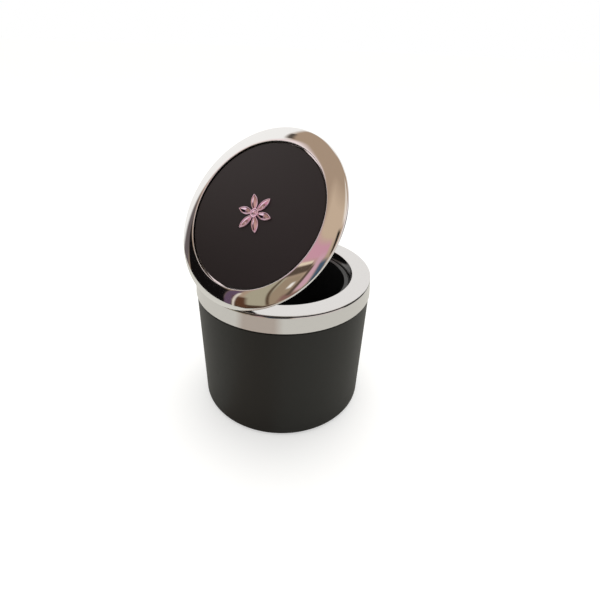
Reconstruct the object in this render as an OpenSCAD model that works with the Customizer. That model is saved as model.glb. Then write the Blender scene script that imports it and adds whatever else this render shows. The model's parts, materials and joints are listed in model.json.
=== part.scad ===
// Round car ashtray that stands in a cup holder, with a lift-out bowl and a hinged lid.
// Millimetres. The origin is the centre of the pad's underside, +Z is up, the hinge is at +Y,
// and the lid is drawn standing open against its stop.

/* [Shell] */
// Radius of the shell at its shoulder, just under the collar
body_r = 38.2; // [37:0.1:42]
// How much smaller the shell's radius is at the foot
foot_taper = 0.3; // [0:0.1:0.8]
// Height from the shell's foot to its shoulder
shell_h = 55.1; // [50:0.1:70]
// Thickness of the shell's floor above the pad's recess
floor_t = 1.6; // [1.2:0.1:2.4]
// Round along the foot's outer edge
foot_round = 1.8; // [0.6:0.1:2.6]
// Thickness of the spigot that stands up inside the collar
spigot_t = 1.4; // [1.2:0.1:1.8]
// Height of the spigot above the shoulder
spigot_h = 5.4; // [4:0.1:6]
// Number of stiffening ribs inside the shell
rib_count = 12; // [6:6:12]
// How far each rib stands in from the wall
rib_depth = 1.7; // [1.2:0.1:2]
// Width of each rib
rib_w = 1.6; // [1:0.1:2]

/* [Pad] */
// Radius of the rubber pad under the foot
pad_r = 33.4; // [30:0.1:34]
// How far the pad stands out below the foot
pad_proud = 0.5; // [0.4:0.1:1]
// Depth of the recess that holds the pad
pad_recess = 1.5; // [1:0.1:2]
// Number of grip grooves in the pad's underside
groove_count = 3; // [1:1:4]

/* [Collar] */
// Thickness of the gasket between shell and collar
gasket_t = 0.6; // [0.4:0.1:1]
// Height of the collar's outer band
band_h = 7.8; // [7:0.1:9]
// How far the band's lower edge stands out past the shell
band_overhang = 0.3; // [0:0.1:0.6]
// How much the band draws in towards its top
band_taper = 0.45; // [0:0.05:0.8]
// Thickness of the band at its top
band_t = 1.35; // [1.2:0.05:1.7]
// Width of the collar's flat top
top_w = 8.05; // [7.5:0.05:9]
// Thickness of the collar's flat top
top_t = 1.8; // [1.4:0.1:2.2]
// Round along the collar's outer top edge
edge_round = 0.5; // [0.2:0.1:0.8]
// How much the mouth draws in from the top down to the bowl's rim
mouth_taper = 0.8; // [0.4:0.1:1]
// Thickness of the lip around the mouth
lip_t = 1.5; // [1.2:0.1:1.8]

/* [Bowl] */
// Depth of the bowl's rim below the collar's top
rim_drop = 3.8; // [3.5:0.1:4]
// Width of the bowl's flat rim
rim_w = 1.85; // [1.7:0.05:2.3]
// Thickness of the bowl's rim
rim_t = 1.2; // [1:0.1:1.4]
// Wall of the bowl
bowl_t = 0.9; // [0.7:0.1:1]
// How much the bowl's radius draws in towards its floor
bowl_draft = 2; // [1:0.1:4]
// Round between the bowl's wall and floor
bowl_round = 7; // [4:0.5:10]
// Gap between the bowl's floor and the shell's
bowl_lift = 4.4; // [2:0.1:8]

/* [Carrier] */
// Thickness of the carrier's flange
flange_t = 2; // [1.6:0.1:2.4]
// Depth of the carrier's sleeve below the bowl's rim
sleeve_h = 11; // [6:0.5:16]
// Thickness of the sleeve
sleeve_t = 1.5; // [1.2:0.1:1.6]
// Depth of the seat that the bowl's rim drops into
seat_step = 0.6; // [0.4:0.1:0.8]
// Number of gussets under the flange
gusset_count = 6; // [3:3:6]

/* [Lid] */
// How far the lid's rim lies inside the collar's outer edge
lid_setback = 1.15; // [1:0.05:1.4]
// Height of the lid's widest line above the collar's top when closed
rim_up = 2.52; // [2.4:0.02:2.8]
// Radius of the lid's rounded rim
rim_round = 0.65; // [0.5:0.05:0.7]
// Gap between the closed lid and the collar's top
lid_gap = 0.35; // [0.3:0.05:0.5]
// Height of the lid's inset panel above the collar's top when closed
panel_up = 4.6; // [4.4:0.05:4.9]
// How far the bezel's inner edge stands above the panel
lip_proud = 0.5; // [0.2:0.05:0.7]
// Width of the bevelled bezel around the panel
bezel_w = 7.6; // [7.2:0.1:8]
// Thickness of the bezel's skin
skin_t = 1.4; // [1.2:0.1:1.5]
// How much the bezel's bevel bulges
crown = 0.3; // [0:0.05:0.5]
// Thickness of the inset panel
panel_t = 1.6; // [1.2:0.1:1.8]
// Groove between the panel and the bezel
panel_gap = 0.45; // [0.3:0.05:0.6]
// Thickness of the liner under the lid
liner_t = 1; // [0.8:0.1:1.2]
// How far the liner's plug reaches below the collar's top when closed
plug_drop = 2.4; // [2:0.1:2.8]

/* [Hinge] */
// Angle that the lid opens to
lid_open = 51.5; // [50:0.1:53]
// Distance of the hinge pin in from the collar's outer edge
pin_inset = 2.9; // [2.8:0.05:3.1]
// Depth of the hinge pin's axis below the collar's top
pin_drop = 0.95; // [0.9:0.05:1.1]
// Radius of the hinge pin
pin_r = 0.8; // [0.6:0.05:0.9]
// Outer radius of the knuckle and the bracket's ears
knuckle_r = 1.7; // [1.6:0.05:1.8]
// Length of the knuckle along the pin
knuckle_w = 5.6; // [5:0.1:6]
// Thickness of each ear
ear_t = 1.4; // [1.2:0.1:1.6]
// Thickness of each friction washer
washer_t = 0.3; // [0.2:0.05:0.4]
// Gap left between the open lid and the collar
stop_gap = 0.15; // [0.1:0.05:0.2]

/* [Emblem] */
// Number of petals of the lid's rosette
petal_count = 6; // [5:1:8]
// Distance of a petal's tip from the rosette's centre
petal_reach = 8.2; // [6:0.1:11]
// Width of a petal
petal_w = 3.1; // [2:0.1:3.4]
// Height of the rosette above the panel
petal_h = 1; // [0.6:0.1:1.6]

/* [Fasteners] */
// Radius of the screws' shanks
screw_r = 0.8; // [0.7:0.05:0.9]
// Radius of the screws' heads
head_r = 1.5; // [1.4:0.05:1.6]
// Height of the screws' heads
head_h = 1; // [0.8:0.05:1.1]

/* [Hidden] */
$fn = 96;
eps = 0.01;
slip = 0.05;
fit = 0.1;
loose = 0.3;
clear = 0.2;
SIDES = ["left", "right"];

// Heights above the pad's underside
foot_z = pad_proud;
recess_z = foot_z + pad_recess;
floor_z = recess_z + floor_t;
shoulder_z = foot_z + shell_h;
band_z = shoulder_z + gasket_t;
top_z = band_z + band_h;
rim_z = top_z - rim_drop;
seat_z = rim_z - rim_t;
flange_z = seat_z + seat_step;
shelf_z = flange_z - flange_t;
bowl_z = floor_z + bowl_lift;
pin_z = top_z - pin_drop;

// Radii, each worked in from the shell's
foot_r = body_r - foot_taper;
band_r = body_r + band_overhang;
collar_r = band_r - band_taper;
bore_r = collar_r - band_t;
spigot_r = bore_r - fit;
shell_in_r = spigot_r - spigot_t;
inner_draft = 0.3;
mouth_r = collar_r - top_w;
lip_r = mouth_r - mouth_taper;
rim_play = 0.45;
rim_r = lip_r - rim_play;
bowl_r = rim_r - rim_w;
bowl_out_r = bowl_r + bowl_t;
sleeve_r = bowl_out_r + clear;
flange_r = shell_in_r - clear;
pin_y = collar_r - pin_inset;

// Screw places, on circles about the object's axis
boss_r = 1.9;
collar_screw_r = (lip_r + lip_t + shell_in_r) / 2;
collar_screw_a = [for (i = [0:3]) 45 + 90 * i];
bracket_screw_x = 8;
bracket_screw_y = sqrt(pow(shell_in_r - boss_r - 2 * clear, 2) - pow(bracket_screw_x, 2));
bracket_plate_t = 1.2;
bracket_screw_hold = 2.8;

// Lid sections: radius, and height above the collar's top when closed
lid_r = collar_r - lid_setback;
rim_c = lid_r - rim_round;
panel_r = lid_r - bezel_w;
pocket_r = panel_r + panel_gap;
seat_up = panel_up - panel_t;
liner_up = lid_gap + liner_t;
plug_play = 1.7;
plug_r = mouth_r - plug_play;
seal_play = 0.55;
seal_r = mouth_r - seal_play;
skirt_w = 1.95;
wall_in_r = rim_c - skirt_w;
liner_r = wall_in_r - fit;
liner_screw_in = 1.6;
liner_screw_r = mouth_r + liner_screw_in;
liner_screw_a = [40, 140, 220, 320];
lid_screw_l = 2.9;
boss_top = 3.3;

// The hinge arm's plate under the lid, and its screws
arm_screw_in = 1.4;
arm_screw_x = 5.5;
arm_screw_y = mouth_r + arm_screw_in;
arm_land = 1.6;
arm_plate_x = 8;
arm_plate_y = arm_screw_y - arm_land;

// Hinge places along X
knuckle_x = knuckle_w / 2;
ear_x = knuckle_x + washer_t + 2 * slip;
ear_out_x = ear_x + ear_t;
slot_x = ear_out_x + loose;

// A run of points along an arc
function arc(c, r, a0, a1, n) = [
    for (i = [0:n]) c + r * [cos(a0 + (a1 - a0) * i / n), sin(a0 + (a1 - a0) * i / n)]
];

// A point of the open lid, given by its distance from the axis and height above the collar,
// taken back to its place on the closed lid
function closed(y, up) = [
    pin_y + (y - pin_y) * cos(lid_open) - (up + pin_drop) * sin(lid_open),
    -pin_drop + (y - pin_y) * sin(lid_open) + (up + pin_drop) * cos(lid_open)
];

// The rim's centre with the lid open
rim_open_y = pin_y + (rim_c - pin_y) * cos(lid_open) + (rim_up + pin_drop) * sin(lid_open);
rim_open_up = -pin_drop - (rim_c - pin_y) * sin(lid_open) + (rim_up + pin_drop) * cos(lid_open);

// The stop bevel lies flat on the collar's top when the lid is open
bevel_end = closed(
    rim_open_y - sqrt(max(0, rim_round * rim_round - pow(rim_open_up - stop_gap, 2))),
    stop_gap
);
bevel_start = closed(
    pin_y + (lid_gap + pin_drop - (stop_gap + pin_drop) * cos(lid_open)) / sin(lid_open),
    stop_gap
);
bevel_end_a = atan2(bevel_end[1] - rim_up, bevel_end[0] - rim_c);
rim_end_a = 62;

module at_polar(r, a) {
    rotate([0, 0, a]) translate([r, 0, 0]) children();
}

// Places a lid piece, drawn closed with the collar's top at height 0
module on_lid() {
    translate([0, pin_y, pin_z])
        rotate([-lid_open, 0, 0])
            translate([0, -pin_y, pin_drop])
                children();
}

// A block centred on X = 0
module block(w, y0, y1, z0, z1) {
    translate([-w / 2, y0, z0]) cube([w, y1 - y0, z1 - z0]);
}

// A cylinder along X, centred on X = 0
module axle(r, w) {
    rotate([0, 90, 0]) cylinder(r = r, h = w, center = true);
}

// A cross recess for a screw's head, cut down from height 0
module cross_recess() {
    translate([0, 0, -0.25]) cube([1.6, 0.4, 0.6], center = true);
    translate([0, 0, -0.25]) cube([0.4, 1.6, 0.6], center = true);
}

// A pan-head screw whose head stands on height 0, with its shank below
module pan_screw(length) {
    difference() {
        union() {
            translate([0, 0, -length]) cylinder(r = screw_r, h = length + eps);
            rotate_extrude() polygon(concat(
                [[0, 0], [head_r, 0]],
                arc([head_r - head_h * 0.5, head_h * 0.5], head_h * 0.5, 0, 90, 4),
                [[0, head_h]]
            ));
        }
        translate([0, 0, head_h]) cross_recess();
    }
}

// A countersunk screw whose flat head ends at height 0, with its shank above
module sunk_screw(length) {
    sink = head_r - screw_r;
    difference() {
        rotate_extrude() polygon([[0, 0], [head_r, 0], [screw_r, sink], [screw_r, length], [0, length]]);
        rotate([180, 0, 0]) cross_recess();
    }
}

// The hole for a countersunk screw, a slip larger all round
module sunk_hole(length) {
    sink = head_r - screw_r;
    rotate_extrude() polygon([
        [0, -1], [head_r + 2 * slip, -1], [head_r + 2 * slip, 0],
        [screw_r + 2 * slip, sink], [screw_r + 2 * slip, length], [0, length]
    ]);
}

module base_pad() {
    groove_w = 1.2;
    groove_d = 0.5;
    chamfer = 0.3;
    color("#1d1d1c") difference() {
        rotate_extrude() polygon([
            [0, 0], [pad_r - chamfer, 0], [pad_r, chamfer], [pad_r, recess_z], [0, recess_z]
        ]);
        for (i = [1:groove_count]) {
            r = pad_r * i / (groove_count + 1);
            rotate_extrude() translate([r - groove_w / 2, -1]) square([groove_w, 1 + groove_d]);
        }
    }
}

module shell_body() {
    bead = 0.3;
    bead_z = shoulder_z + 2.4;
    bead_h = 1.2;
    inner_foot_r = shell_in_r - inner_draft;
    inner_round = 1.5;
    tip_chamfer = 0.4;
    spigot_z = shoulder_z + spigot_h;
    rotate_extrude() polygon(concat(
        [[0, recess_z], [pad_r + clear, recess_z], [pad_r + clear, foot_z]],
        arc([foot_r - foot_round, foot_z + foot_round], foot_round, -90, 0, 8),
        arc([body_r - 0.35, shoulder_z - 0.35], 0.35, 0, 90, 4),
        [[spigot_r, shoulder_z], [spigot_r, bead_z]],
        [[spigot_r + bead, bead_z + bead], [spigot_r + bead, bead_z + bead_h - bead]],
        [[spigot_r, bead_z + bead_h], [spigot_r, spigot_z - tip_chamfer]],
        [[spigot_r - tip_chamfer, spigot_z], [shell_in_r, spigot_z]],
        arc([inner_foot_r - inner_round, floor_z + inner_round], inner_round, 0, -90, 5),
        [[0, floor_z]]
    ));
}

module shell_rib() {
    at_polar(shell_in_r - rib_depth, 0)
        translate([0, -rib_w / 2, floor_z - eps])
            cube([rib_depth + 0.5, rib_w, shelf_z - floor_z + eps]);
}

module outer_shell() {
    notch_x = slot_x + 0.5;
    color("#2f302d") difference() {
        union() {
            shell_body();
            for (i = [0:rib_count - 1]) rotate([0, 0, i * 360 / rib_count]) shell_rib();
        }
        block(2 * notch_x, shell_in_r - 3, spigot_r + 1, shelf_z + 1, top_z);
    }
}

module collar_gasket() {
    color("#151515") rotate_extrude()
        translate([spigot_r + slip, shoulder_z])
            square([body_r - spigot_r - 0.6, gasket_t]);
}

module collar_body() {
    bead = 0.35;
    bead_z = shoulder_z + 2.3;
    bead_h = 1.4;
    mouth_round = 0.4;
    rotate_extrude() polygon(concat(
        [[bore_r, band_z], [band_r - 0.15, band_z], [band_r, band_z + 0.15]],
        arc([collar_r - edge_round, top_z - edge_round], edge_round, 0, 90, 5),
        arc([mouth_r + mouth_round, top_z - mouth_round], mouth_round, 90, 180, 5),
        [[lip_r, flange_z], [lip_r + lip_t, flange_z]],
        [[mouth_r + lip_t - clear, top_z - top_t], [bore_r, top_z - top_t]],
        [[bore_r, bead_z + bead_h], [bore_r + bead, bead_z + bead_h - bead]],
        [[bore_r + bead, bead_z + bead], [bore_r, bead_z]]
    ));
}

module collar_ring() {
    slot_gap = 0.25;
    slot_z = shoulder_z + spigot_h + clear;
    color("#d8d6d4") difference() {
        union() {
            collar_body();
            for (a = collar_screw_a) at_polar(collar_screw_r, a)
                translate([0, 0, flange_z]) cylinder(r = boss_r, h = top_z - top_t - flange_z + 0.5);
        }
        for (a = collar_screw_a) at_polar(collar_screw_r, a)
            translate([0, 0, flange_z - 1]) cylinder(r = screw_r + slip, h = 1 + top_z - 1.1 - flange_z);
        block(2 * slot_x, pin_y - knuckle_r - loose, pin_y + knuckle_r + slot_gap, slot_z, top_z + 1);
    }
}

module carrier_gusset() {
    tip_r = shell_in_r - rib_depth - 2 * clear;
    drop = 6;
    thick = 1.2;
    rotate([90, 0, 0]) translate([0, 0, -thick / 2]) linear_extrude(height = thick)
        polygon([
            [sleeve_r + sleeve_t - 0.5, shelf_z + eps], [tip_r, shelf_z + eps],
            [tip_r, shelf_z - 1], [sleeve_r + sleeve_t, shelf_z - drop],
            [sleeve_r + sleeve_t - 0.5, shelf_z - drop]
        ]);
}

module bowl_carrier() {
    lead_in = 0.4;
    screw_depth = 3.2;
    boss_floor = 0.8;
    boss_z = flange_z - screw_depth - boss_floor;
    color("#1b1b1b") difference() {
        union() {
            rotate_extrude() polygon([
                [sleeve_r, seat_z - sleeve_h], [sleeve_r + sleeve_t - lead_in, seat_z - sleeve_h],
                [sleeve_r + sleeve_t, seat_z - sleeve_h + lead_in], [sleeve_r + sleeve_t, shelf_z],
                [flange_r, shelf_z], [flange_r, flange_z], [rim_r + loose, flange_z],
                [rim_r + loose, seat_z], [sleeve_r, seat_z]
            ]);
            for (i = [0:gusset_count - 1]) rotate([0, 0, i * 360 / gusset_count]) carrier_gusset();
            for (s = [-1, 1]) translate([s * bracket_screw_x, bracket_screw_y, boss_z])
                cylinder(r = boss_r, h = screw_depth);
        }
        for (a = collar_screw_a) at_polar(collar_screw_r, a)
            translate([0, 0, shelf_z - 1]) cylinder(r = screw_r + slip, h = flange_t + 2);
        for (s = [-1, 1]) translate([s * bracket_screw_x, bracket_screw_y, flange_z - screw_depth])
            cylinder(r = screw_r + slip, h = screw_depth + 1);
    }
}

module inner_bowl() {
    rim_edge = 0.4;
    foot = bowl_out_r - bowl_draft;
    color("#8d8f90") rotate_extrude() polygon(concat(
        [[0, bowl_z]],
        arc([foot - bowl_round, bowl_z + bowl_round], bowl_round, -90, 0, 10),
        [[bowl_out_r, seat_z]],
        arc([rim_r - rim_edge, seat_z + rim_edge], rim_edge, -90, 0, 4),
        arc([rim_r - rim_edge, rim_z - rim_edge], rim_edge, 0, 90, 4),
        arc([bowl_r + rim_edge, rim_z - rim_edge], rim_edge, 90, 180, 4),
        arc([foot - bowl_round, bowl_z + bowl_round], bowl_round - bowl_t, 0, -90, 10),
        [[0, bowl_z + bowl_t]]
    ));
}

// One ear of the bracket, from its plate up to the pin
module ear_outline() {
    back = [pin_y - knuckle_r, flange_z + 0.5];
    front = [pin_y - 0.35, flange_z + 0.5];
    tangent_a = -20;
    union() {
        translate([pin_y, pin_z]) circle(r = knuckle_r);
        polygon([
            back, front, [pin_y, pin_z] + knuckle_r * [cos(tangent_a), sin(tangent_a)],
            [pin_y, pin_z], [pin_y - knuckle_r, pin_z]
        ]);
    }
}

// Turns an outline drawn in Y and Z into a plate across X
module across(x0, x1) {
    translate([x0, 0, 0]) rotate([90, 0, 90]) linear_extrude(height = x1 - x0) children();
}

module hinge_bracket() {
    plate_x = 10.2;
    plate_y = bracket_screw_y - 2.1;
    color("#9a9a98") difference() {
        union() {
            difference() {
                intersection() {
                    block(2 * plate_x, plate_y, pin_y - 0.25, flange_z, flange_z + bracket_plate_t);
                    cylinder(r = flange_r, h = top_z);
                }
                cylinder(r = mouth_r + lip_t - clear, h = top_z);
            }
            across(ear_x, ear_out_x) ear_outline();
            across(-ear_out_x, -ear_x) ear_outline();
        }
        translate([0, pin_y, pin_z]) axle(pin_r + 0.02, 2 * ear_out_x + 1);
        for (s = [-1, 1]) translate([s * bracket_screw_x, bracket_screw_y, flange_z - 1])
            cylinder(r = screw_r + slip, h = bracket_plate_t + 2);
    }
}

module hinge_pin() {
    color("#b9b9b6") translate([0, pin_y, pin_z]) axle(pin_r, 2 * ear_out_x);
}

module friction_washer(side) {
    color("#c7a86a") translate([side * (knuckle_x + slip + washer_t / 2), pin_y, pin_z]) difference() {
        axle(knuckle_r - 0.1, washer_t);
        axle(pin_r + slip, washer_t + 1);
    }
}

module bracket_screw(side) {
    color("#8f8f8c") translate([side * bracket_screw_x, bracket_screw_y, flange_z + bracket_plate_t])
        pan_screw(bracket_plate_t + bracket_screw_hold);
}

module collar_screw(i) {
    color("#8f8f8c") at_polar(collar_screw_r, collar_screw_a[i])
        translate([0, 0, shelf_z]) rotate([180, 0, 0]) pan_screw(top_z - 1.3 - shelf_z);
}

// The bezel's ring, without its bosses and hinge relief
module bezel_ring() {
    lip_w = 0.75;
    lip_round = 0.2;
    lip_up = panel_up + lip_proud;
    ledge = 2.9;
    web_r = pocket_r - 1.35;
    web_up = seat_up - 1.2;
    top_start = [rim_c, rim_up] + rim_round * [cos(rim_end_a), sin(rim_end_a)];
    top_end = [pocket_r + lip_w, lip_up];
    steps = 8;
    rotate_extrude() polygon(concat(
        [[wall_in_r, lid_gap], bevel_start],
        arc([rim_c, rim_up], rim_round, bevel_end_a, rim_end_a, 12),
        [for (i = [1:steps]) top_start + (top_end - top_start) * i / steps
            + [0, crown * 4 * (i / steps) * (1 - i / steps)]],
        arc([pocket_r + lip_round, lip_up - lip_round], lip_round, 90, 180, 4),
        [[pocket_r, seat_up], [pocket_r - ledge, seat_up], [pocket_r - ledge, liner_up], [web_r, liner_up]],
        [[web_r, web_up], [pocket_r + 0.25, web_up], [pocket_r + skin_t, lip_up - 1.8]],
        [[wall_in_r, rim_up - 0.1]]
    ));
}

module lid_bezel() {
    screw_depth = 2.1;
    hinge_relief = knuckle_r + loose;
    color("#d9d7d6") on_lid() difference() {
        union() {
            bezel_ring();
            for (a = liner_screw_a) at_polar(liner_screw_r, a)
                translate([0, 0, liner_up]) cylinder(r = boss_r, h = boss_top - liner_up);
            for (s = [-1, 1]) translate([s * arm_screw_x, arm_screw_y, liner_up])
                cylinder(r = boss_r, h = boss_top - liner_up);
        }
        for (a = liner_screw_a) at_polar(liner_screw_r, a)
            translate([0, 0, liner_up - 1]) cylinder(r = screw_r + slip, h = screw_depth + 1);
        for (s = [-1, 1]) translate([s * arm_screw_x, arm_screw_y, liner_up - 1])
            cylinder(r = screw_r + slip, h = screw_depth + 1);
        translate([0, pin_y, -pin_drop]) axle(hinge_relief, 2 * slot_x);
        block(knuckle_w + loose, wall_in_r - 1.5, wall_in_r + 1.3, 0, liner_up + 0.2);
    }
}

module lid_panel() {
    edge = 0.5;
    peg_hole = 0.65;
    color("#2b2624") on_lid() difference() {
        rotate_extrude() polygon(concat(
            [[0, seat_up], [panel_r, seat_up]],
            arc([panel_r - edge, panel_up - edge], edge, 0, 90, 6),
            [[0, panel_up]]
        ));
        for (s = [-1, 1]) translate([s * petal_reach / 2, 0, panel_up - 0.9])
            cylinder(r = peg_hole, h = 2);
    }
}

// A pointed petal lying along X, as the overlap of two discs
module petal(inset, h) {
    start = 1;
    half_l = (petal_reach - start) / 2;
    half_w = petal_w / 2;
    disc_r = (half_l * half_l + half_w * half_w) / (2 * half_w);
    translate([start + half_l, 0, 0]) intersection() {
        translate([0, disc_r - half_w, 0]) cylinder(r = disc_r - inset, h = h);
        translate([0, half_w - disc_r, 0]) cylinder(r = disc_r - inset, h = h);
    }
}

module lid_emblem() {
    boss = 1.9;
    peg = 0.6;
    step = 0.35;
    color("#c9a3b4") on_lid() {
        translate([0, 0, panel_up]) {
            for (i = [0:petal_count - 1]) rotate([0, 0, i * 360 / petal_count]) {
                petal(0, petal_h * 0.6);
                petal(step, petal_h);
            }
            cylinder(r = boss, h = petal_h);
        }
        for (s = [-1, 1]) translate([s * petal_reach / 2, 0, panel_up - 0.8]) cylinder(r = peg, h = 1);
    }
}

module lid_liner() {
    corner = 0.8;
    dish_t = 1.2;
    tongue = 0.4;
    arm_gap = 0.15;
    color("#232323") on_lid() difference() {
        rotate_extrude() polygon([
            [0, -plug_drop], [plug_r - corner, -plug_drop], [plug_r, -plug_drop + corner],
            [plug_r, -0.9], [plug_r - tongue, -0.9], [plug_r - tongue, -0.3], [plug_r, -0.3],
            [plug_r, lid_gap], [liner_r, lid_gap], [liner_r, liner_up],
            [plug_r - 1.3, liner_up], [plug_r - 1.3, dish_t - plug_drop], [0, dish_t - plug_drop]
        ]);
        block(2 * (arm_plate_x + arm_gap), arm_plate_y - fit, liner_r + 1, 0, liner_up + 1);
        for (a = liner_screw_a) at_polar(liner_screw_r, a)
            translate([0, 0, lid_gap]) sunk_hole(liner_t + 1);
    }
}

module lid_seal() {
    tongue = 0.35;
    color("#3a3a3a") on_lid() rotate_extrude() polygon(concat(
        [[plug_r + slip, -1.5], [seal_r - 0.5, -1.5]],
        arc([seal_r - 0.4, -0.75], 0.4, -60, 60, 6),
        [[seal_r - 0.4, lid_gap], [plug_r + slip, lid_gap], [plug_r + slip, -0.35]],
        [[plug_r - tongue, -0.35], [plug_r - tongue, -0.85], [plug_r + slip, -0.85]]
    ));
}

module hinge_arm() {
    neck_a = 50;
    color("#9a9a98") on_lid() difference() {
        union() {
            difference() {
                intersection() {
                    block(2 * arm_plate_x, arm_plate_y, liner_r, lid_gap, liner_up);
                    cylinder(r = liner_r, h = liner_up);
                }
                translate([0, pin_y, -pin_drop]) axle(knuckle_r + loose, 2 * slot_x);
            }
            across(-knuckle_x, knuckle_x) union() {
                translate([pin_y, -pin_drop]) circle(r = knuckle_r);
                polygon([
                    [pin_y - knuckle_r - 1, lid_gap], [pin_y - knuckle_r - 1, liner_up],
                    [liner_r + 0.2, liner_up],
                    [pin_y, -pin_drop] + knuckle_r * [cos(neck_a), sin(neck_a)],
                    [pin_y, -pin_drop], [pin_y - knuckle_r, -pin_drop], [pin_y - knuckle_r, lid_gap]
                ]);
            }
        }
        translate([0, pin_y, -pin_drop]) axle(pin_r + slip, knuckle_w + 1);
        for (s = [-1, 1]) translate([s * arm_screw_x, arm_screw_y, lid_gap]) sunk_hole(liner_t + 1);
    }
}

module arm_screw(side) {
    color("#8f8f8c") on_lid() translate([side * arm_screw_x, arm_screw_y, lid_gap]) sunk_screw(lid_screw_l);
}

module liner_screw(i) {
    color("#8f8f8c") on_lid() at_polar(liner_screw_r, liner_screw_a[i])
        translate([0, 0, lid_gap]) sunk_screw(lid_screw_l);
}

base_pad();
outer_shell();
collar_gasket();
collar_ring();
bowl_carrier();
inner_bowl();
hinge_bracket();
hinge_pin();
for (i = [0, 1]) friction_washer(2 * i - 1);
for (i = [0, 1]) bracket_screw(2 * i - 1);
for (i = [0:3]) collar_screw(i);
lid_bezel();
lid_panel();
lid_emblem();
lid_liner();
lid_seal();
hinge_arm();
for (i = [0, 1]) arm_screw(2 * i - 1);
for (i = [0:3]) liner_screw(i);
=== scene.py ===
"""Car ashtray: finishes, finer pieces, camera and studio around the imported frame.

Sections and places of the pieces are written in mm, and MM turns them into the frame's metres.
"""

import json
import math

import bmesh
import bpy
from mathutils import Matrix, Vector


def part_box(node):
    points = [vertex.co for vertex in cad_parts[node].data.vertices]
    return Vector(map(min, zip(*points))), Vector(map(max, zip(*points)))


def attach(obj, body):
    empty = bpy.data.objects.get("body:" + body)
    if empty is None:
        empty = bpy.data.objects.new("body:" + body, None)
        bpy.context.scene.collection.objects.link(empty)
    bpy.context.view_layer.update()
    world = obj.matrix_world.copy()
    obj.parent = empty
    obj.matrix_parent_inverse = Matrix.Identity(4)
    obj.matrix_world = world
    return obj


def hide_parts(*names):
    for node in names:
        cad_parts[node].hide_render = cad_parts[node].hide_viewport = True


MM = 0.001

# Points of a new piece that lie closer together than this, in metres, are joined
SAME_POINT = 1e-7

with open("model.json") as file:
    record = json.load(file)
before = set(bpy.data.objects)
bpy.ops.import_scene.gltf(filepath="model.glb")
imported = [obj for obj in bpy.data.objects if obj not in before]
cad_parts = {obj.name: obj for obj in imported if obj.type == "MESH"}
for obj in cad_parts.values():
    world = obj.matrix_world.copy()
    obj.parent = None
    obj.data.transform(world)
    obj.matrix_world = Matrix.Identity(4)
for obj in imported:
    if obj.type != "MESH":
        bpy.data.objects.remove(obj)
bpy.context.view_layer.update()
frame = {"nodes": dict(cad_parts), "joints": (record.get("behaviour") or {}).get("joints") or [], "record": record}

# Places on the frame that the finer pieces are worked out from
top_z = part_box("collar_ring")[1].z / MM
hinge = frame["joints"][0]
pin = Vector(hinge["pos_m"])
pin_y = hinge["pos_m"][1] / MM
pin_up = hinge["pos_m"][2] / MM - top_z
lid_open = math.radians(hinge["range_deg"][1])

# The lid's sections in mm: radius, and height above the collar's top with the lid closed
RIM_C = (36.25, 2.52)
RIM_ROUND = 0.65
RIM_TOP_ANGLE = 62
RIM_LOW_ANGLE = -110.65
SKIRT_TOP_ANGLE = -72
STOP_BEVEL = (34.78, 0.35)
WALL_IN_R = RIM_C[0] - 1.95
WALL_TOP = RIM_C[1] - 0.1
CROWN = 0.3
PANEL_UP = 4.6
PANEL_R = 29.3
PANEL_EDGE = 0.5
POCKET_R = 29.75
LIP_UP = PANEL_UP + 0.52
LIP_ROUND = 0.2
LIP_TOP_ANGLE = 80
LIP_FOOT = PANEL_UP - 0.1
SEAT_UP = PANEL_UP - 1.6
SEAT_LOW = SEAT_UP - 1.2
LEDGE_R = POCKET_R - 2.9
WEB_R = POCKET_R - 1.35
LINER_UP = 1.35
HOLLOW_R = POCKET_R + 0.25
HOLLOW_CORNER = (POCKET_R + 1.4, LIP_UP - 1.8)

# The collar's section in mm: radius, and height above the pad's underside
COLLAR_R = 38.05
BAND_R = 38.5
BAND_FOOT_BEVEL = 0.15
BORE_R = 36.7
BEAD = [(0, 3.1), (0.35, 2.75), (0.35, 2.05), (0, 1.7)]
EDGE_ROUND = 0.9
EDGE_END_ANGLE = 56
TOP_T = 1.8
TOP_R = 37.95
TOP_ROUND = 0.16
TOP_START_ANGLE = 10
SEAM_HIGH = top_z - TOP_ROUND
SEAM_LOW = SEAM_HIGH - 0.2
SEAM_IN_R = TOP_R - 0.35
MOUTH_R = 30.0
MOUTH_LOW_R = 29.2
MOUTH_ROUND = 0.4
MOUTH_LIP_T = 1.5
MOUTH_LIP_LOW = top_z - 4.4
MOUTH_LIP_ROOT_R = MOUTH_R + 1.3

# Painted shade in the collar's seam: a black filling, in mm: inner and outer radius, and reach below and above the
# seam
SEAM_SHADE_R = (TOP_R - 0.4, TOP_R - 0.04)
SEAM_SHADE_BELOW = (0.25, 0.45)
SEAM_SHADE_ABOVE = 0.03
SEAM_SHADE_BEVEL = 0.1

# How far outside the face that it opens a cut starts, in mm
CUT_PAST = 1

# The slot in the collar for the hinge arm, in mm
SLOT_W = 9.8
SLOT_Y = (33.15, 37.1)
SLOT_DEPTH = 2.8

# Steps of the round forms, and how far past an arc, in mm, a point is held to keep a flat's shading
RING_STEPS = 480
PANEL_STEPS = 240
HOLD = 0.03

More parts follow.
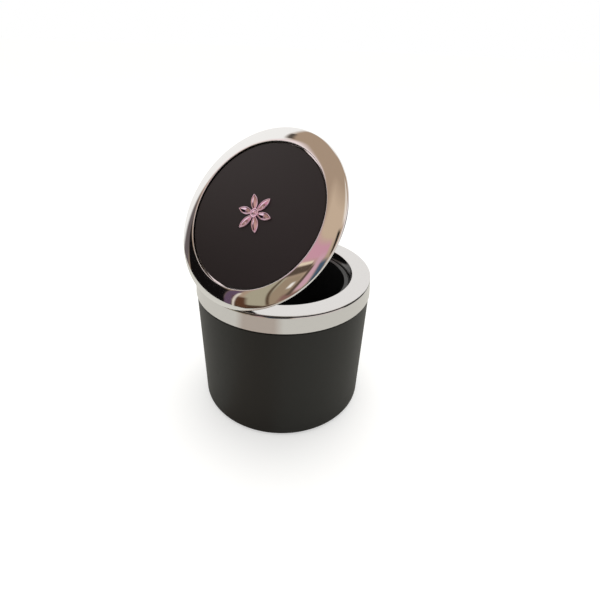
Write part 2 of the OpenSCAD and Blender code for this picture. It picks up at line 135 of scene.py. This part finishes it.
# Screw bosses inside the collar and the bezel, in mm, with their holes. A place is a radius and an angle.
SCREW_BOSS_R = 1.9
HOLE_R = 0.85
COLLAR_BOSS_HIGH = top_z - TOP_T + 0.5
COLLAR_HOLE_HIGH = top_z - 1.1
BEZEL_BOSS_HIGH = 3.3
BEZEL_HOLE_HIGH = LINER_UP + 2.1
COLLAR_SCREWS = [(32.95, a) for a in (45, 135, 225, 315)]
LINER_SCREWS = [(31.6, a) for a in (40, 140, 220, 320)]
ARM_SCREW_X = 5.5
ARM_SCREW_Y = 31.4
ARM_SCREW_R = math.hypot(ARM_SCREW_X, ARM_SCREW_Y)
ARM_SCREWS = [(ARM_SCREW_R, math.degrees(math.atan2(ARM_SCREW_Y, x))) for x in (-ARM_SCREW_X, ARM_SCREW_X)]

# The relief for the hinge's knuckle and the notch for its arm, under the lid's edge, in mm
RELIEF_R = 2.0
RELIEF_W = 9.8
ARM_NOTCH_W = 5.9
ARM_NOTCH_Y = (WALL_IN_R - 1.5, WALL_IN_R + 1.3)
ARM_NOTCH_HIGH = LINER_UP + 0.2

# The rosette on the panel in mm: petals with levels of inset and height, and a button in the middle
PETALS = 6
PETAL_STEPS = 24
PETAL_START = 1.0
PETAL_REACH = 8.2
PETAL_W = 3.1
PETAL_LEVELS = [(0, 0), (0, 0.42), (0.05, 0.56), (0.16, 0.68), (0.3, 0.72), (0.4, 0.69), (0.5, 0.6),
                (0.56, 0.58), (0.8, 0.68), (1.1, 0.82), (1.4, 0.94), (1.5, 0.97)]
BUTTON_STEPS = 48
BUTTON_R = 1.9
BUTTON_SIDE = 0.5
BUTTON_ROUND = 0.25
BUTTON_GROOVE = [(1.35, 0.75), (1.2, 0.66), (1.05, 0.66), (0.95, 0.72)]
DOME_R = 1.0
SQUASH_FROM = 0.6
SQUASH = 0.97 / 1.5
SQUASH_LIFT = 0.35

# The photograph's camera, fitted to the collar, foot and lid
CAMERA_DISTANCE = 191.38 * MM
CAMERA_PITCH = math.radians(31.106)
CAMERA_ROLL = math.radians(2.231)
CAMERA_TURN = math.radians(-142.992)
CAMERA_FOCAL_PX = 416.87
PHOTO_WIDTH_PX = 600
TARGET_SIDE = 7.501 * MM
TARGET_HEIGHT = 50.77 * MM


def closed_to_open():
    """The matrix that takes the closed lid, drawn from the collar's top up, to the open lid of the frame."""
    turn = Matrix.Rotation(-lid_open, 4, "X")
    lift = Matrix.Translation((0, 0, top_z * MM))
    return Matrix.Translation(pin) @ turn @ Matrix.Translation(-pin) @ lift


def make_camera():
    """The camera that sees the object as the photograph does."""
    turn = Matrix.Rotation(CAMERA_TURN, 3, "Z")
    forward = turn @ Vector((0, math.cos(CAMERA_PITCH), -math.sin(CAMERA_PITCH)))
    level_right = turn @ Vector((1, 0, 0))
    level_up = level_right.cross(forward)
    right = level_right * math.cos(CAMERA_ROLL) + level_up * math.sin(CAMERA_ROLL)
    up = level_up * math.cos(CAMERA_ROLL) - level_right * math.sin(CAMERA_ROLL)
    target = turn @ Vector((TARGET_SIDE, 0, 0)) + Vector((0, 0, TARGET_HEIGHT))
    data = bpy.data.cameras.new("camera")
    data.sensor_width = 36
    data.lens = CAMERA_FOCAL_PX * data.sensor_width / PHOTO_WIDTH_PX
    data.clip_start = 0.01
    data.clip_end = 50
    camera = bpy.data.objects.new("camera", data)
    place = Matrix((right, up, -forward)).transposed().to_4x4()
    place.translation = target - forward * CAMERA_DISTANCE
    camera.matrix_world = place
    bpy.context.scene.collection.objects.link(camera)
    bpy.context.scene.camera = camera


class Nodes:
    """A short way to add shader nodes to one tree and join them."""

    def __init__(self, tree):
        self.tree = tree
        tree.nodes.clear()

    def add(self, kind, **values):
        node = self.tree.nodes.new(kind)
        for name, value in values.items():
            setattr(node, name, value)
        return node

    def join(self, output, target):
        self.tree.links.new(output, target)

    def math(self, operation, a, b=0.0, clamp=False):
        node = self.add("ShaderNodeMath", operation=operation, use_clamp=clamp)
        for socket, value in zip(node.inputs, (a, b)):
            if isinstance(value, (int, float)):
                socket.default_value = value
            else:
                self.join(value, socket)
        return node.outputs[0]

    def inside(self, off, half, soft):
        """One where an angle is within half, in degrees, and zero past it, with a soft edge."""
        past = self.math("SUBTRACT", off, math.radians(half))
        return self.math("SUBTRACT", 0.5, self.math("DIVIDE", past, math.radians(soft)), clamp=True)

    def mix(self, factor, a, b):
        node = self.add("ShaderNodeMix", data_type="RGBA")
        for socket, value in zip((node.inputs[0], node.inputs[6], node.inputs[7]), (factor, a, b)):
            if isinstance(value, (int, float)):
                socket.default_value = value
            elif isinstance(value, tuple):
                socket.default_value = (*value, 1)
            else:
                self.join(value, socket)
        return node.outputs[2]


def finish(name, color, roughness, metallic=0.0, grain=0.0, grain_size=0.4, wear=0.0,
           bump=0.0, bump_size=0.3, **sockets):
    """A procedural finish: a slightly mottled colour, roughness that varies, and fine bump, sizes in mm."""
    material = bpy.data.materials.new(name)
    material.use_nodes = True
    nodes = Nodes(material.node_tree)
    output = nodes.add("ShaderNodeOutputMaterial")
    shader = nodes.add("ShaderNodeBsdfPrincipled")
    nodes.join(shader.outputs[0], output.inputs[0])
    place = nodes.add("ShaderNodeTexCoord").outputs["Object"]
    shader.inputs["Metallic"].default_value = metallic
    for socket, value in sockets.items():
        shader.inputs[socket.replace("_", " ")].default_value = value

    noise = nodes.add("ShaderNodeTexNoise")
    noise.inputs["Scale"].default_value = 1 / (grain_size * MM)
    noise.inputs["Detail"].default_value = 3
    nodes.join(place, noise.inputs["Vector"])
    spread = nodes.math("SUBTRACT", noise.outputs["Fac"], 0.5)
    dark = tuple(c * (1 - grain) for c in color)
    light = tuple(min(1, c * (1 + grain)) for c in color)
    nodes.join(nodes.mix(noise.outputs["Fac"], dark, light), shader.inputs["Base Color"])
    rough = nodes.math("ADD", nodes.math("MULTIPLY", spread, wear), roughness, clamp=True)
    nodes.join(rough, shader.inputs["Roughness"])
    if bump:
        fine = nodes.add("ShaderNodeTexNoise")
        fine.inputs["Scale"].default_value = 1 / (bump_size * MM)
        fine.inputs["Detail"].default_value = 2
        nodes.join(place, fine.inputs["Vector"])
        relief = nodes.add("ShaderNodeBump")
        relief.inputs["Strength"].default_value = 1
        relief.inputs["Distance"].default_value = bump * MM
        nodes.join(fine.outputs["Fac"], relief.inputs["Height"])
        nodes.join(relief.outputs[0], shader.inputs["Normal"])
    return material


FINISHES = {
    "shell_plastic": dict(color=(0.0105, 0.0105, 0.0085), roughness=0.48, grain=0.12, wear=0.1,
                          bump=0.012, bump_size=0.25, Specular_IOR_Level=0.38),
    "pad_rubber": dict(color=(0.012, 0.012, 0.012), roughness=0.75, grain=0.2, bump=0.02),
    "gasket_rubber": dict(color=(0.003, 0.003, 0.003), roughness=0.7, grain=0.2),
    "collar_chrome": dict(color=(0.76, 0.745, 0.74), roughness=0.09, metallic=1, grain=0.012,
                          grain_size=1.5, wear=0.03, bump=0.0012, bump_size=1.2),
    "carrier_plastic": dict(color=(0.008, 0.008, 0.008), roughness=0.5, grain=0.2, wear=0.1),
    "bowl_metal": dict(color=(0.015, 0.015, 0.015), roughness=0.3, grain=0.2, wear=0.1),
    "hinge_steel": dict(color=(0.55, 0.55, 0.54), roughness=0.3, metallic=1, grain=0.05, wear=0.1),
    "washer_steel": dict(color=(0.5, 0.5, 0.48), roughness=0.35, metallic=1, grain=0.05, wear=0.1),
    "bezel_chrome": dict(color=(0.9, 0.89, 0.885), roughness=0.045, metallic=1, grain=0.01, wear=0.01),
    "panel_plastic": dict(color=(0.0095, 0.0065, 0.0065), roughness=0.36, grain=0.1, wear=0.06,
                          bump=0.005, bump_size=0.2, Specular_IOR_Level=0.45),
    "emblem_rose_chrome": dict(color=(0.86, 0.62, 0.76), roughness=0.13, metallic=1, grain=0.02),
    "liner_plastic": dict(color=(0.012, 0.012, 0.012), roughness=0.42, grain=0.15, wear=0.1, bump=0.005),
    "seal_rubber": dict(color=(0.02, 0.02, 0.02), roughness=0.6, grain=0.2),
    "screw_steel": dict(color=(0.45, 0.45, 0.44), roughness=0.3, metallic=1, grain=0.05, wear=0.1),
}


def make_finishes():
    """The finish of each material slot."""
    return {slot: finish(slot, **values) for slot, values in FINISHES.items()}


def dress_frame(finishes):
    """Gives each CAD node its own slot's finish."""
    slots = {row["node"]: row["material_slot"] for row in frame["record"]["subparts"]}
    for name, node in frame["nodes"].items():
        node.data.materials.clear()
        node.data.materials.append(finishes[slots[name]])


def arc(center, radius, start, end, steps, hold=0.0):
    """Points along an arc of a section, in degrees, and one more past each end at the distance hold."""
    angles = [math.radians(start + (end - start) * i / steps) for i in range(steps + 1)]
    points = [(center[0] + radius * math.cos(a), center[1] + radius * math.sin(a)) for a in angles]
    if hold:
        before = (points[0][0] + hold * math.sin(angles[0]), points[0][1] - hold * math.cos(angles[0]))
        after = (points[-1][0] - hold * math.sin(angles[-1]), points[-1][1] + hold * math.cos(angles[-1]))
        points = [before] + points + [after]
    return points


def add_piece(name, points, faces, place, finishes, slot, body, sharp_angle=40):
    """A new piece in the frame, from points in mm, smooth except where faces meet sharply."""
    mesh = bpy.data.meshes.new(name)
    mesh.from_pydata([place @ (Vector(p) * MM) for p in points], [], faces)
    shape = bmesh.new()
    shape.from_mesh(mesh)
    bmesh.ops.remove_doubles(shape, verts=shape.verts, dist=SAME_POINT)
    bmesh.ops.recalc_face_normals(shape, faces=shape.faces)
    shape.to_mesh(mesh)
    shape.free()
    mesh.shade_smooth()
    mesh.set_sharp_from_angle(angle=math.radians(sharp_angle))
    mesh.materials.append(finishes[slot])
    piece = bpy.data.objects.new(name, mesh)
    bpy.context.scene.collection.objects.link(piece)
    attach(piece, body)
    return piece


def lathe(section, around):
    """Points and faces of a closed section, in radius and height, turned about the axis."""
    points = []
    for i in range(around):
        a = 2 * math.pi * i / around
        points += [(r * math.cos(a), r * math.sin(a), up) for r, up in section]
    n = len(section)
    faces = []
    for i in range(around):
        here, there = i * n, (i + 1) % around * n
        for j in range(n):
            k = (j + 1) % n
            faces.append((here + j, there + j, there + k, here + k))
    return points, faces


def bezel_section():
    """The lid's chrome bezel: a rounded rim, a crowned bevel, a narrow lip, and the pocket for the panel."""
    rim = arc(RIM_C, RIM_ROUND, SKIRT_TOP_ANGLE, RIM_TOP_ANGLE, steps=18)
    lip = arc((POCKET_R + LIP_ROUND, LIP_UP - LIP_ROUND), LIP_ROUND, LIP_TOP_ANGLE, 180, steps=6)
    start, end = rim[-1], lip[0]
    steps = 16
    bevel = []
    for i in range(1, steps):
        t = i / steps
        bulge = CROWN * 4 * t * (1 - t)
        bevel.append((start[0] + (end[0] - start[0]) * t, start[1] + (end[1] - start[1]) * t + bulge))
    pocket = [(POCKET_R, LIP_FOOT), (POCKET_R, SEAT_UP), (LEDGE_R, SEAT_UP), (LEDGE_R, LINER_UP)]
    hollow = [(WEB_R, LINER_UP), (WEB_R, SEAT_LOW), (HOLLOW_R, SEAT_LOW), HOLLOW_CORNER]
    wall = [(WALL_IN_R, WALL_TOP), (WALL_IN_R, LINER_UP)]
    return rim + bevel + lip + pocket + hollow + wall


def skirt_section():
    """The unplated black skirt under the bezel's rim, which meets the collar when the lid is open. Its black also
    paints the shade in the gap between the rim and the collar.
    """
    rim = arc(RIM_C, RIM_ROUND, RIM_LOW_ANGLE, SKIRT_TOP_ANGLE, steps=8)
    return [(WALL_IN_R, LINER_UP), (WALL_IN_R, STOP_BEVEL[1]), STOP_BEVEL] + rim


def panel_section():
    """The lid's inset panel: a flat disc with a rounded edge."""
    edge = arc((PANEL_R - PANEL_EDGE, PANEL_UP - PANEL_EDGE), PANEL_EDGE, 0, 90, steps=10, hold=HOLD)
    return [(0, SEAT_UP), (PANEL_R, SEAT_UP)] + edge + [(PANEL_R / 2, PANEL_UP), (0, PANEL_UP)]


def collar_section():
    """The collar: a band, a seam, a flat top with rounded edges, a mouth that draws in, and a bead inside."""
    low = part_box("collar_ring")[0].z / MM
    foot = [(BORE_R, low), (BAND_R - BAND_FOOT_BEVEL, low), (BAND_R, low + BAND_FOOT_BEVEL)]
    edge_c = (COLLAR_R - EDGE_ROUND, SEAM_LOW - EDGE_ROUND)
    band = arc(edge_c, EDGE_ROUND, 0, EDGE_END_ANGLE, steps=9, hold=HOLD)
    groove = [(SEAM_IN_R, SEAM_HIGH), (TOP_R, SEAM_HIGH)]
    top = arc((TOP_R - TOP_ROUND, top_z - TOP_ROUND), TOP_ROUND, TOP_START_ANGLE, 90, steps=5)
    top += [(TOP_R - TOP_ROUND - HOLD, top_z)]
    mouth_c = (MOUTH_R + MOUTH_ROUND, top_z - MOUTH_ROUND)
    mouth = arc(mouth_c, MOUTH_ROUND, 90, 180, steps=8, hold=HOLD)
    lip = [(MOUTH_LOW_R, MOUTH_LIP_LOW), (MOUTH_LOW_R + MOUTH_LIP_T, MOUTH_LIP_LOW)]
    lip += [(MOUTH_LIP_ROOT_R, top_z - TOP_T), (BORE_R, top_z - TOP_T)]
    bead = [(BORE_R + out, low + up) for out, up in BEAD]
    return foot + band + groove + top + mouth + lip + bead


def seam_shade_section():
    """A black filling of the fine seam between the collar's flat top and its band, which paints the shade in its
    gap.
    """
    near, far = SEAM_SHADE_R
    foot = [(near, SEAM_LOW - SEAM_SHADE_BELOW[0]), (far, SEAM_LOW - SEAM_SHADE_BELOW[1])]
    high = SEAM_HIGH + SEAM_SHADE_ABOVE
    return foot + [(far, SEAM_HIGH), (far - SEAM_SHADE_BEVEL, high), (near, high)]


def carve(piece, points, faces, place, operation="DIFFERENCE"):
    """Takes a closed form out of a piece, or joins it to the piece."""
    mesh = bpy.data.meshes.new("tool")
    mesh.from_pydata([place @ (Vector(p) * MM) for p in points], [], faces)
    tool = bpy.data.objects.new("tool", mesh)
    bpy.context.scene.collection.objects.link(tool)
    modifier = piece.modifiers.new("carve", "BOOLEAN")
    modifier.operation = operation
    modifier.solver = "EXACT"
    modifier.object = tool
    bpy.context.view_layer.update()
    shape = bpy.data.meshes.new_from_object(piece.evaluated_get(bpy.context.evaluated_depsgraph_get()))
    piece.modifiers.remove(modifier)
    piece.data = shape
    bpy.data.objects.remove(tool)


def carve_bosses(piece, screws, low, high, hole_high, place):
    """Stands a screw boss on each place, given by radius and angle, and sinks its hole from below."""
    for radius, angle in screws:
        at = Matrix.Rotation(math.radians(angle), 4, "Z") @ Matrix.Translation((radius * MM, 0, 0))
        carve(piece, *post(SCREW_BOSS_R, low, high), place @ at, "UNION")
        carve(piece, *post(HOLE_R, low - CUT_PAST, hole_high), place @ at)


def post(radius, low, high, around=32):
    """Points and faces of an upright cylinder."""
    ring = [(radius * math.cos(2 * math.pi * i / around), radius * math.sin(2 * math.pi * i / around))
            for i in range(around)]
    points = [(x, y, up) for up in (low, high) for x, y in ring]
    sides = [(i, (i + 1) % around, (i + 1) % around + around, i + around) for i in range(around)]
    return points, sides + [tuple(reversed(range(around))), tuple(range(around, 2 * around))]


def axle(radius, width, y, z, around=64):
    """Points and faces of a cylinder along X."""
    points = []
    for x in (-width / 2, width / 2):
        for i in range(around):
            a = 2 * math.pi * i / around
            points.append((x, y + radius * math.cos(a), z + radius * math.sin(a)))
    faces = [tuple(range(around)), tuple(reversed(range(around, 2 * around)))]
    for i in range(around):
        j = (i + 1) % around
        faces.append((i, i + around, j + around, j))
    return points, faces


def block(width, y0, y1, z0, z1):
    """Points and faces of a box that is centred on X = 0."""
    points = [(x, y, z) for x in (-width / 2, width / 2) for y in (y0, y1) for z in (z0, z1)]
    return points, [(0, 1, 3, 2), (4, 6, 7, 5), (0, 4, 5, 1), (2, 3, 7, 6), (0, 2, 6, 4), (1, 5, 7, 3)]


def petal_ring(inset, up):
    """Points round one pointed petal along X, drawn in by inset."""
    half_l = (PETAL_REACH - PETAL_START) / 2
    half_w = PETAL_W / 2
    disc_r = (half_l ** 2 + half_w ** 2) / (2 * half_w)
    drop = disc_r - half_w
    r = disc_r - inset
    tip = math.sqrt(max(0.0, r * r - drop * drop))
    ring = []
    for side in (1, -1):
        for i in range(PETAL_STEPS):
            x = side * tip * (1 - 2 * i / PETAL_STEPS)
            y = side * max(0.0, math.sqrt(r * r - x * x) - drop)
            ring.append((PETAL_START + half_l + x, y, up))
    return ring


def button_section():
    """The rosette's middle: a button with a rounded edge, a groove and a dome."""
    side = [(0, 0), (BUTTON_R, 0), (BUTTON_R, BUTTON_SIDE)]
    edge = arc((BUTTON_R - BUTTON_ROUND, BUTTON_SIDE), BUTTON_ROUND, 30, 90, steps=4)
    dome = arc((0.0, BUTTON_SIDE), DOME_R, 25, 90, steps=10)
    section = side + edge + BUTTON_GROOVE + dome
    return [(r, up * SQUASH + SQUASH_LIFT if up > SQUASH_FROM else up) for r, up in section]


def rosette():
    """Ridged petals with a raised edge round each, and a button in the middle, as closed shells."""
    n = 2 * PETAL_STEPS
    points, faces = [], []
    for petal in range(PETALS):
        turn = Matrix.Rotation(2 * math.pi * petal / PETALS, 3, "Z")
        first = len(points)
        for inset, up in PETAL_LEVELS:
            points += [tuple(turn @ Vector(p)) for p in petal_ring(inset, up)]
        last = len(points) - n
        for low in range(first, last, n):
            high = low + n
            for i in range(n):
                j = (i + 1) % n
                faces.append((low + i, low + j, high + j, high + i))
        faces.append(tuple(range(first + n - 1, first - 1, -1)))
        faces.append(tuple(range(last, last + n)))
    first = len(points)
    button_points, button_faces = lathe(button_section(), BUTTON_STEPS)
    points += button_points
    faces += [tuple(first + v for v in face) for face in button_faces]
    return points, faces


# What stands round the object and shows in its chrome, from back to front
ROOM = [
    # Name, azimuth, elevation, half width and half height in degrees, lean, soft edge in degrees, colour
    ("back_window", 187, 30, 46, 34, 0, 8, (0.8, 0.72, 0.7)),
    ("pale_wall", 97, 56, 34, 15, 0, 16, (0.58, 0.44, 0.32)),
    ("pale_corner", 131, 70, 7, 14, 0, 6, (0.85, 0.78, 0.7)),
    ("window", -36, 3, 47, 48, 0, 4, (0.95, 0.94, 0.92)),
    ("side_window", -84, 20, 40, 56, 0, 8, (0.95, 0.94, 0.92)),
    ("far_floor", 187, -13, 50, 6, 0, 5, (0.06, 0.045, 0.04)),
    ("far_chair", -134, 4, 20, 14, 0, 6, (0.05, 0.045, 0.045)),
    ("window_frame", -4, 52, 9, 1.6, 0, 2, (0.1, 0.08, 0.065)),
    ("curtain", 26, 43, 16, 14, 0, 8, (0.92, 0.79, 0.79)),
    ("screen", 54, 36, 11, 11, 0, 8, (0.5, 0.35, 0.42)),
    ("floor_shadow", 70, -7.5, 24, 7, 0, 3, (0.07, 0.042, 0.025)),
    ("chair_side", 15, 4, 7, 17, 0.2, 6, (0.14, 0.115, 0.115)),
    ("chair", 37, 0, 16, 16, -0.1, 2, (0.006, 0.005, 0.005)),
    ("chair_back", 40, 21, 8, 9, 0, 4, (0.01, 0.008, 0.008)),
    ("bag", 54.7, 4, 2.4, 16, -0.1, 1, (0.12, 0.075, 0.12)),
    ("tan_cloth", 84, 13, 11, 15, -0.3, 3, (0.33, 0.25, 0.17)),
    ("olive_cloth", 68, 14, 8, 16, -0.35, 2, (0.4, 0.36, 0.26)),
    ("table_leg", 62.5, 1, 4, 8, -0.4, 3, (0.1, 0.045, 0.025)),
    ("bag_edge", 58.2, 3, 0.7, 12, -0.15, 1, (0.75, 0.68, 0.6)),
    ("fold", 74, 15, 1.3, 16, -0.55, 1.5, (0.1, 0.065, 0.04)),
    ("glint", 87, 20, 2, 2.5, 0, 2, (0.9, 0.86, 0.8)),
    ("red_rug", 97, 6, 9, 5, 0, 4, (0.24, 0.13, 0.11)),
    ("pink_cloth", 88, 41, 22, 5, 0, 5, (0.6, 0.31, 0.38)),
    ("pink_side", 101, 26, 5, 13, 0.2, 4, (0.6, 0.36, 0.42)),
    ("frame_top", 80, 32, 14, 2.6, 0, 1.5, (0.1, 0.07, 0.05)),
    ("frame_side", 94.5, 21, 2.2, 12, 0.15, 2, (0.11, 0.075, 0.055)),
    ("ledge", 79, 35.5, 13, 0.8, 0, 1, (0.8, 0.68, 0.5)),
    ("dark_coat", 124, 0, 14, 25, 0, 5, (0.035, 0.045, 0.06)),
    ("blue_chair", 112, 26, 6, 8, 0, 4, (0.06, 0.1, 0.15)),
    ("dark_case", 120.5, 44, 4, 8, 0, 3, (0.012, 0.011, 0.01)),
]
ROOM_COLOR = (0.41, 0.3, 0.215)
SOFT_LIGHT = (0.8, 0.8, 0.795)
BACKDROP = (1, 1, 1)

# The floor, and the round table that the chrome shows in its place with a darker brown zone, in metres and degrees
FLOOR_HALF = 12.0
FLOOR_COLOR = (0.74, 0.735, 0.72)
FLOOR_GLOW = 0.42
TABLE_R = 0.5
TABLE_COLOR = (0.69, 0.68, 0.63)
FLOOR_DARK_AZIMUTH = 103
FLOOR_DARK_HALF = 22
FLOOR_DARK_SOFT = 10
FLOOR_DARK_COLOR = (0.52, 0.455, 0.4)

# Where the lamp points, in metres
LAMP_TARGET = (0, 0, 0.05)


def make_world():
    """Plain white light all round, with a room that only glossy rays see."""
    world = bpy.data.worlds.new("studio")
    bpy.context.scene.world = world
    world.use_nodes = True
    nodes = Nodes(world.node_tree)
    output = nodes.add("ShaderNodeOutputWorld")
    place = nodes.add("ShaderNodeTexCoord").outputs["Generated"]
    split = nodes.add("ShaderNodeSeparateXYZ")
    nodes.join(place, split.inputs[0])
    azimuth = nodes.math("ARCTAN2", split.outputs[1], split.outputs[0])
    elevation = nodes.math("ARCSINE", split.outputs[2])
    room = ROOM_COLOR
    for _, az, el, half_w, half_h, lean, soft, color in ROOM:
        over = nodes.math("SUBTRACT", elevation, math.radians(el))
        turned = nodes.math("SUBTRACT", azimuth, math.radians(az))
        if lean:
            turned = nodes.math("SUBTRACT", turned, nodes.math("MULTIPLY", over, lean))
        wrapped = nodes.math("WRAP", turned, math.pi)
        wrapped.node.inputs[2].default_value = -math.pi
        off_az = nodes.math("ABSOLUTE", wrapped)
        off_el = nodes.math("ABSOLUTE", over)
        mask = 1
        for off, half in ((off_az, half_w), (off_el, half_h)):
            mask = nodes.math("MULTIPLY", mask, nodes.inside(off, half, soft))
        room = nodes.mix(mask, room, color)
    ray = nodes.add("ShaderNodeLightPath")
    seen = nodes.mix(ray.outputs["Is Glossy Ray"], SOFT_LIGHT, room)
    seen = nodes.mix(ray.outputs["Is Camera Ray"], seen, BACKDROP)
    background = nodes.add("ShaderNodeBackground")
    nodes.join(seen, background.inputs[0])
    nodes.join(background.outputs[0], output.inputs[0])


def add_stage(name, points, faces, material):
    """A piece of the studio, from points in metres."""
    mesh = bpy.data.meshes.new(name)
    mesh.from_pydata(points, [], faces)
    mesh.materials.append(material)
    piece = bpy.data.objects.new(name, mesh)
    bpy.context.scene.collection.objects.link(piece)


def make_floor():
    """A white floor. In reflections it ends at a table's edge, past which the room shows."""
    corners = [(x * FLOOR_HALF, y * FLOOR_HALF, 0) for x, y in ((-1, -1), (1, -1), (1, 1), (-1, 1))]
    material = bpy.data.materials.new("floor")
    material.use_nodes = True
    nodes = Nodes(material.node_tree)
    output = nodes.add("ShaderNodeOutputMaterial")
    ray = nodes.add("ShaderNodeLightPath")
    position = nodes.add("ShaderNodeNewGeometry").outputs["Position"]
    place = nodes.add("ShaderNodeSeparateXYZ")
    nodes.join(position, place.inputs[0])
    azimuth = nodes.math("ARCTAN2", place.outputs[1], place.outputs[0])
    # Glossy rays see the floor darker and browner round one azimuth, which the chrome band shows as a darker zone
    off = nodes.math("ABSOLUTE", nodes.math("SUBTRACT", azimuth, math.radians(FLOOR_DARK_AZIMUTH)))
    mirrored = nodes.mix(nodes.inside(off, FLOOR_DARK_HALF, FLOOR_DARK_SOFT), TABLE_COLOR, FLOOR_DARK_COLOR)

    paint = nodes.add("ShaderNodeBsdfDiffuse")
    nodes.join(nodes.mix(ray.outputs["Is Glossy Ray"], FLOOR_COLOR, mirrored), paint.inputs[0])
    glow = nodes.add("ShaderNodeEmission")
    nodes.join(nodes.math("MULTIPLY", ray.outputs["Is Camera Ray"], FLOOR_GLOW), glow.inputs[1])
    both = nodes.add("ShaderNodeAddShader")
    nodes.join(paint.outputs[0], both.inputs[0])
    nodes.join(glow.outputs[0], both.inputs[1])

    distance = nodes.add("ShaderNodeVectorMath", operation="LENGTH")
    nodes.join(position, distance.inputs[0])
    past_edge = nodes.math("GREATER_THAN", distance.outputs["Value"], TABLE_R)
    ended = nodes.add("ShaderNodeMixShader")
    nodes.join(nodes.math("MULTIPLY", past_edge, ray.outputs["Is Glossy Ray"]), ended.inputs[0])
    nodes.join(both.outputs[0], ended.inputs[1])
    nodes.join(nodes.add("ShaderNodeBsdfTransparent").outputs[0], ended.inputs[2])
    nodes.join(ended.outputs[0], output.inputs[0])
    add_stage("floor", corners, [(0, 1, 2, 3)], material)


def make_light(name, place, size, watts, color):
    """A round lamp that points at the object and doesn't show in its chrome."""
    data = bpy.data.lights.new(name, "AREA")
    data.shape = "DISK"
    data.size = size
    data.energy = watts
    data.color = color
    light = bpy.data.objects.new(name, data)
    light.location = place
    light.rotation_euler = (Vector(LAMP_TARGET) - Vector(place)).to_track_quat("-Z", "Y").to_euler()
    light.visible_glossy = False
    bpy.context.scene.collection.objects.link(light)


bpy.context.scene.view_settings.view_transform = "Standard"
make_camera()
make_world()
make_floor()
make_light("overhead", place=(0.1, -0.2, 0.9), size=0.5, watts=2.2, color=(1, 0.99, 0.97))
finishes = make_finishes()
dress_frame(finishes)
on_base = Matrix()
on_lid = closed_to_open()

collar = add_piece("collar_ring_fine", *lathe(collar_section(), RING_STEPS), on_base,
                   finishes, "collar_chrome", "base")
# The seam's black filling is painted shade: it stands for the shade inside the gap between the collar's top and
# band
seam = add_piece("collar_seam_painted_shade", *lathe(seam_shade_section(), RING_STEPS), on_base,
                 finishes, "gasket_rubber", "base")
carve_bosses(collar, COLLAR_SCREWS, MOUTH_LIP_LOW, COLLAR_BOSS_HIGH, COLLAR_HOLE_HIGH, on_base)
for piece in (collar, seam):
    carve(piece, *block(SLOT_W, *SLOT_Y, top_z - SLOT_DEPTH, top_z + CUT_PAST), on_base)
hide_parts("collar_ring")

bezel = add_piece("lid_bezel_fine", *lathe(bezel_section(), RING_STEPS), on_lid,
                  finishes, "bezel_chrome", "lid")
# The skirt's black also paints the shade in the gap under the lid's rim
skirt = add_piece("lid_skirt", *lathe(skirt_section(), RING_STEPS), on_lid,
                  finishes, "liner_plastic", "lid")
carve_bosses(bezel, LINER_SCREWS + ARM_SCREWS, LINER_UP, BEZEL_BOSS_HIGH, BEZEL_HOLE_HIGH, on_lid)
for piece in (bezel, skirt):
    carve(piece, *axle(RELIEF_R, RELIEF_W, pin_y, pin_up), on_lid)
    carve(piece, *block(ARM_NOTCH_W, *ARM_NOTCH_Y, 0, ARM_NOTCH_HIGH), on_lid)
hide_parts("lid_bezel")

panel = add_piece("lid_panel_fine", *lathe(panel_section(), PANEL_STEPS), on_lid,
                  finishes, "panel_plastic", "lid")
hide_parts("lid_panel")

on_panel = on_lid @ Matrix.Translation((0, 0, PANEL_UP * MM))
emblem = add_piece("lid_rosette", *rosette(), on_panel,
                   finishes, "emblem_rose_chrome", "lid", sharp_angle=35)
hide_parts("lid_emblem")
